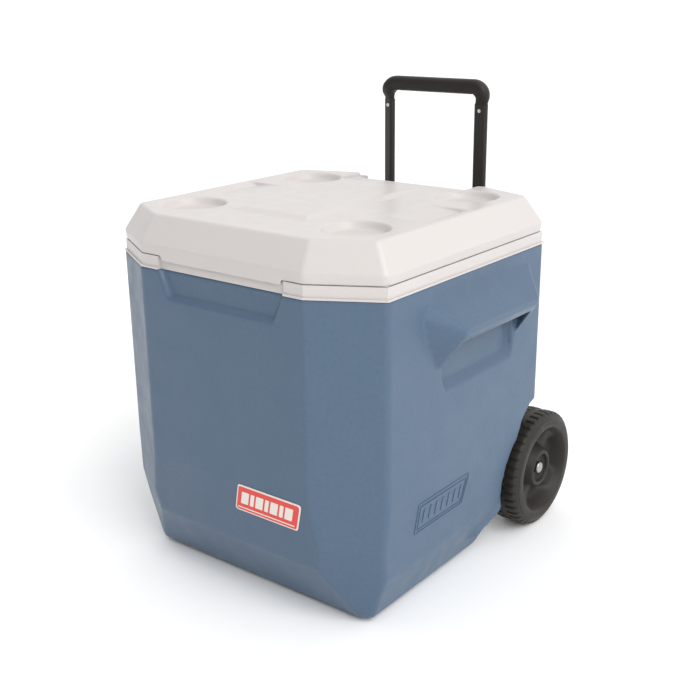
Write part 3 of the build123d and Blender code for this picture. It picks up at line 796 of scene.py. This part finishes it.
def make_grip():
    """Rounded bar whose ends turn down and taper into the two tubes."""
    bm = bmesh.new()
    rings = []
    for x, z, heading in grip_path():
        share = min(1.0, (z - NECK_LOW) / (BAR_Z - NECK_LOW))
        half_w, half_d, twist = grip_section(share)
        normal = Vector((-math.sin(heading), 0, math.cos(heading)))
        ring = []
        for i in range(GRIP_SIDES):
            a = 2 * math.pi * i / GRIP_SIDES
            u = half_w * math.copysign(abs(math.cos(a)) ** GRIP_POWER, math.cos(a))
            v = half_d * math.copysign(abs(math.sin(a)) ** GRIP_POWER, math.sin(a))
            out = u * math.cos(twist) - v * math.sin(twist)
            back = v * math.cos(twist) + u * math.sin(twist)
            ring.append(bm.verts.new(Vector((x, HANDLE_Y + back, z)) + normal * out))
        rings.append(ring)
    for one, two in zip(rings, rings[1:]):
        for i in range(GRIP_SIDES):
            j = (i + 1) % GRIP_SIDES
            bm.faces.new((one[i], one[j], two[j], two[i]))
    bm.faces.new(rings[0])
    bm.faces.new(rings[-1])
    obj = from_bmesh("moulded_grip", bm)
    crisp(obj, 60)
    finish_piece(obj, GREY_BLACK, "handle", "black_plastic", "handle_grip")


# ---------------------------------------------------------------- badge and side frames
def leaning_seat(normal, distance, lean):
    """Frame of a leaning face: origin at its bevel's top, right and up vectors."""
    bevel_top, at_bevel, _ = LEAN[lean]
    low = normal * (distance - at_bevel) + Vector((0, 0, bevel_top))
    high = normal * distance + Vector((0, 0, LEAN_TOP))
    return low, Vector((-normal.y, normal.x, 0)), (high - low).normalized()


def slanted_plate(name, seat, outline, radius, low, high, hole=None):
    """Plate on a slanting seat from an outline with rounded corners; the hole makes it a frame."""
    origin, right, up = seat
    out = right.cross(up)
    ring = round_corners(outline, radius)
    loops = [ring]
    if hole:
        loops.append(round_corners(hole, max(radius - 1.5 * MM, 0.3 * MM)))
    bm = bmesh.new()
    sets = []
    for height in (low, high):
        for loop in loops:
            sets.append([bm.verts.new(origin + right * u + up * v + out * height) for u, v in loop])
    count = len(ring)
    if hole:
        pairs = [(sets[0], sets[1]), (sets[1], sets[3]), (sets[3], sets[2]), (sets[2], sets[0])]
    else:
        pairs = [(sets[0], sets[1])]
        bm.faces.new(sets[0])
        bm.faces.new(sets[1])
    for one, two in pairs:
        for i in range(count):
            j = (i + 1) % count
            bm.faces.new((one[i], one[j], two[j], two[i]))
    return from_bmesh(name, bm)


def round_corners(outline, radius, steps=6):
    """Outline with each corner replaced by an arc of that radius."""
    points = []
    count = len(outline)
    for i in range(count):
        before, here, after = (Vector(outline[k % count]) for k in (i - 1, i, i + 1))
        a, b = (before - here).normalized(), (after - here).normalized()
        half = a.angle(b) / 2
        middle = here + (a + b).normalized() * (radius / math.sin(half))
        start = here + a * (radius / math.tan(half)) - middle
        end = here + b * (radius / math.tan(half)) - middle
        sweep = start.angle_signed(end)
        for k in range(steps + 1):
            turn = Matrix.Rotation(-sweep * k / steps, 2)
            points.append(middle + turn @ start)
    return points


def shrink(outline, amount):
    """Outline moved inwards by the amount."""
    count = len(outline)
    points = []
    for i in range(count):
        before, here, after = (Vector(outline[k % count]) for k in (i - 1, i, i + 1))
        a, b = (before - here).normalized(), (after - here).normalized()
        half = a.angle(b) / 2
        points.append(here + (a + b).normalized() * (amount / math.sin(half)))
    return points


def soft_edges(obj, width, segments=2):
    bevel = obj.modifiers.new("edges", "BEVEL")
    bevel.width = width
    bevel.segments = segments
    bevel.limit_method = "ANGLE"
    bevel.angle_limit = math.radians(40)
    bake(obj)
    crisp(obj, 20)


BADGE_HEIGHT = 38.8 * MM
BADGE_SLANT = 10.5 * MM
BADGE_BARS = ((12, 12), (27, 6), (36, 12), (51, 6), (60, 12), (75, 6), (84, 12))    # (start, width)
BADGE_BAR_SLANT = 0.27
SIDE_FRAME = [(-113, 41), (-2, 41), (12, 83), (-107, 83)]     # (y, height up the slope), millimetres


def slanted_bar(left, width, low, high, slant):
    """Outline of an upright bar whose top is shifted to the right by slant per unit of height."""
    shift = (high - low) * slant
    return [(left, low), (left + width, low), (left + width + shift, high), (left + shift, high)]


def make_badge():
    """Slanted red plate with a cream border, an inner line and a plain pattern of slanted bars."""
    seat = leaning_seat(Vector((0, -1, 0)), HALF_D, "front")
    low = (BADGE[0].z - LEAN["front"][0]) / seat[2].z + 0.2 * MM
    high = low + BADGE_HEIGHT
    left, right, slant = BADGE[0].x, BADGE[1].x, BADGE_SLANT
    outline = [(left, low), (right - slant, low), (right, high), (left + slant, high)]
    plate = slanted_plate("badge_plate", seat, outline, 4 * MM, 0.0, 1.3 * MM)
    soft_edges(plate, 0.4 * MM)
    finish_piece(plate, CREAM, "body", "white_plastic", "front_badge")
    field = slanted_plate("badge_field", seat, shrink(outline, 2.0 * MM), 3 * MM, 1.0 * MM, 1.6 * MM)
    soft_edges(field, 0.2 * MM)
    finish_piece(field, RED, "body", "badge_red")
    line = [(left + 6 * MM, low + 5 * MM), (right - slant - 4 * MM, low + 5 * MM),
            (right - slant - 3.5 * MM, low + 6.6 * MM), (left + 6.5 * MM, low + 6.6 * MM)]
    shapes = [line]
    foot, head = low + 12 * MM, high - 9 * MM
    for start, width in BADGE_BARS:
        shapes.append(slanted_bar(left + start * MM, width * MM, foot, head, BADGE_BAR_SLANT))
    for number, shape in enumerate(shapes):
        bar = slanted_plate(f"badge_bar_{number}", seat, shape, 0.7 * MM, 1.4 * MM, 1.9 * MM)
        soft_edges(bar, 0.15 * MM)
        finish_piece(bar, CREAM, "body", "white_plastic")


def make_side_frames():
    """Raised blank frame with a second line and plain ribs inside it, low on each side."""
    for side, name in ((1, "right"), (-1, "left")):
        seat = leaning_seat(Vector((side, 0, 0)), HALF_W, "side")
        shapes = [(SIDE_FRAME, 2.2), (shrink(SIDE_FRAME, 5), 1.3)]
        shapes += [(slanted_bar(start, 6, 53, 71, 0.2), None) for start in range(-97, -10, 14)]
        for number, (shape, band) in enumerate(shapes):
            hole = mm(shrink(shape, band)) if band else None
            shape = mm(shape)
            if side < 0:
                shape = [(-u, v) for u, v in reversed(shape)]
                hole = hole and [(-u, v) for u, v in reversed(hole)]
            label = f"side_frame_{name}_{number}"
            rim = slanted_plate(label, seat, shape, 2.4 * MM, -1 * MM, 1.0 * MM, hole)
            soft_edges(rim, 0.4 * MM)
            finish_piece(rim, BLUE, "body", "blue_shell")


# ---------------------------------------------------------------- room, light and camera
DARK_TOWARDS = (-0.25, -0.90, -0.35)    # the surroundings are darkest this way, in front of the cooler
FLOOR_WHITE = (0.97, 0.97, 0.97)


def make_floor():
    bm = bmesh.new()
    bmesh.ops.create_grid(bm, x_segments=8, y_segments=8, size=12)
    floor = from_bmesh("floor", bm)
    material, shader = new_material("floor", FLOOR_WHITE, 0.9)
    shader.inputs["Specular IOR Level"].default_value = 0.1
    place = place_node(material)
    mottle(material, shader, place, FLOOR_WHITE, 2, 0.01)
    paint(floor, material)


def add_light(name, place, target, size, power, colour=(1, 1, 1)):
    data = bpy.data.lights.new(name, "AREA")
    data.shape = "RECTANGLE"
    data.size, data.size_y = size
    data.energy = power
    data.color = colour
    lamp = bpy.data.objects.new(name, data)
    lamp.location = place
    lamp.rotation_euler = (Vector(target) - Vector(place)).to_track_quat("-Z", "Y").to_euler()
    bpy.context.scene.collection.objects.link(lamp)


def make_sky():
    """White surroundings that darken towards the front."""
    world = bpy.data.worlds.new("studio")
    bpy.context.scene.world = world
    world.use_nodes = True
    nodes, links = world.node_tree.nodes, world.node_tree.links
    place = nodes.new("ShaderNodeTexCoord")
    facing = nodes.new("ShaderNodeVectorMath")
    facing.operation = "DOT_PRODUCT"
    facing.inputs[1].default_value = DARK_TOWARDS
    links.new(place.outputs["Generated"], facing.inputs[0])
    shade = nodes.new("ShaderNodeMapRange")
    shade.inputs["To Min"].default_value = 1.06
    shade.inputs["To Max"].default_value = 0.10
    links.new(facing.outputs["Value"], shade.inputs["Value"])
    background = nodes["Background"]
    background.inputs["Color"].default_value = (1, 1, 1, 1)
    links.new(shade.outputs["Result"], background.inputs["Strength"])


def make_lights():
    """Even surroundings, a broad soft sun from the right, and a small key light for highlights."""
    make_sky()
    sun = bpy.data.lights.new("sun", "SUN")
    sun.energy = 1.1
    sun.angle = math.radians(40)
    lamp = bpy.data.objects.new("sun", sun)
    lamp.rotation_euler = Vector((-1.0, 0.25, -1.1)).to_track_quat("-Z", "Y").to_euler()
    bpy.context.scene.collection.objects.link(lamp)
    add_light("key", (2.0, -1.5, 1.6), (0, 0, 0.25), (0.8, 0.8), 13)
    bpy.context.scene.view_settings.view_transform = "Standard"


def make_camera():
    """Camera of the pinhole fit: in front of the right front corner, a little above the lid."""
    data = bpy.data.cameras.new("camera")
    data.lens = 54.85
    data.sensor_width = 36
    data.shift_x, data.shift_y = 0.0032, 0.0017
    camera = bpy.data.objects.new("camera", data)
    camera.location = (0.87567, -1.09248, 0.75125)
    look = Matrix.Rotation(math.radians(37.936), 4, "Z") @ Matrix.Rotation(math.radians(71.282), 4, "X")
    camera.rotation_euler = (look @ Matrix.Rotation(math.radians(-0.573), 4, "Z")).to_euler()
    bpy.context.scene.collection.objects.link(camera)
    bpy.context.scene.camera = camera


make_camera()
make_lights()
make_floor()
paint_cad_nodes()
make_body()
make_lid()
make_wheels()
make_grip()
make_badge()
make_side_frames()
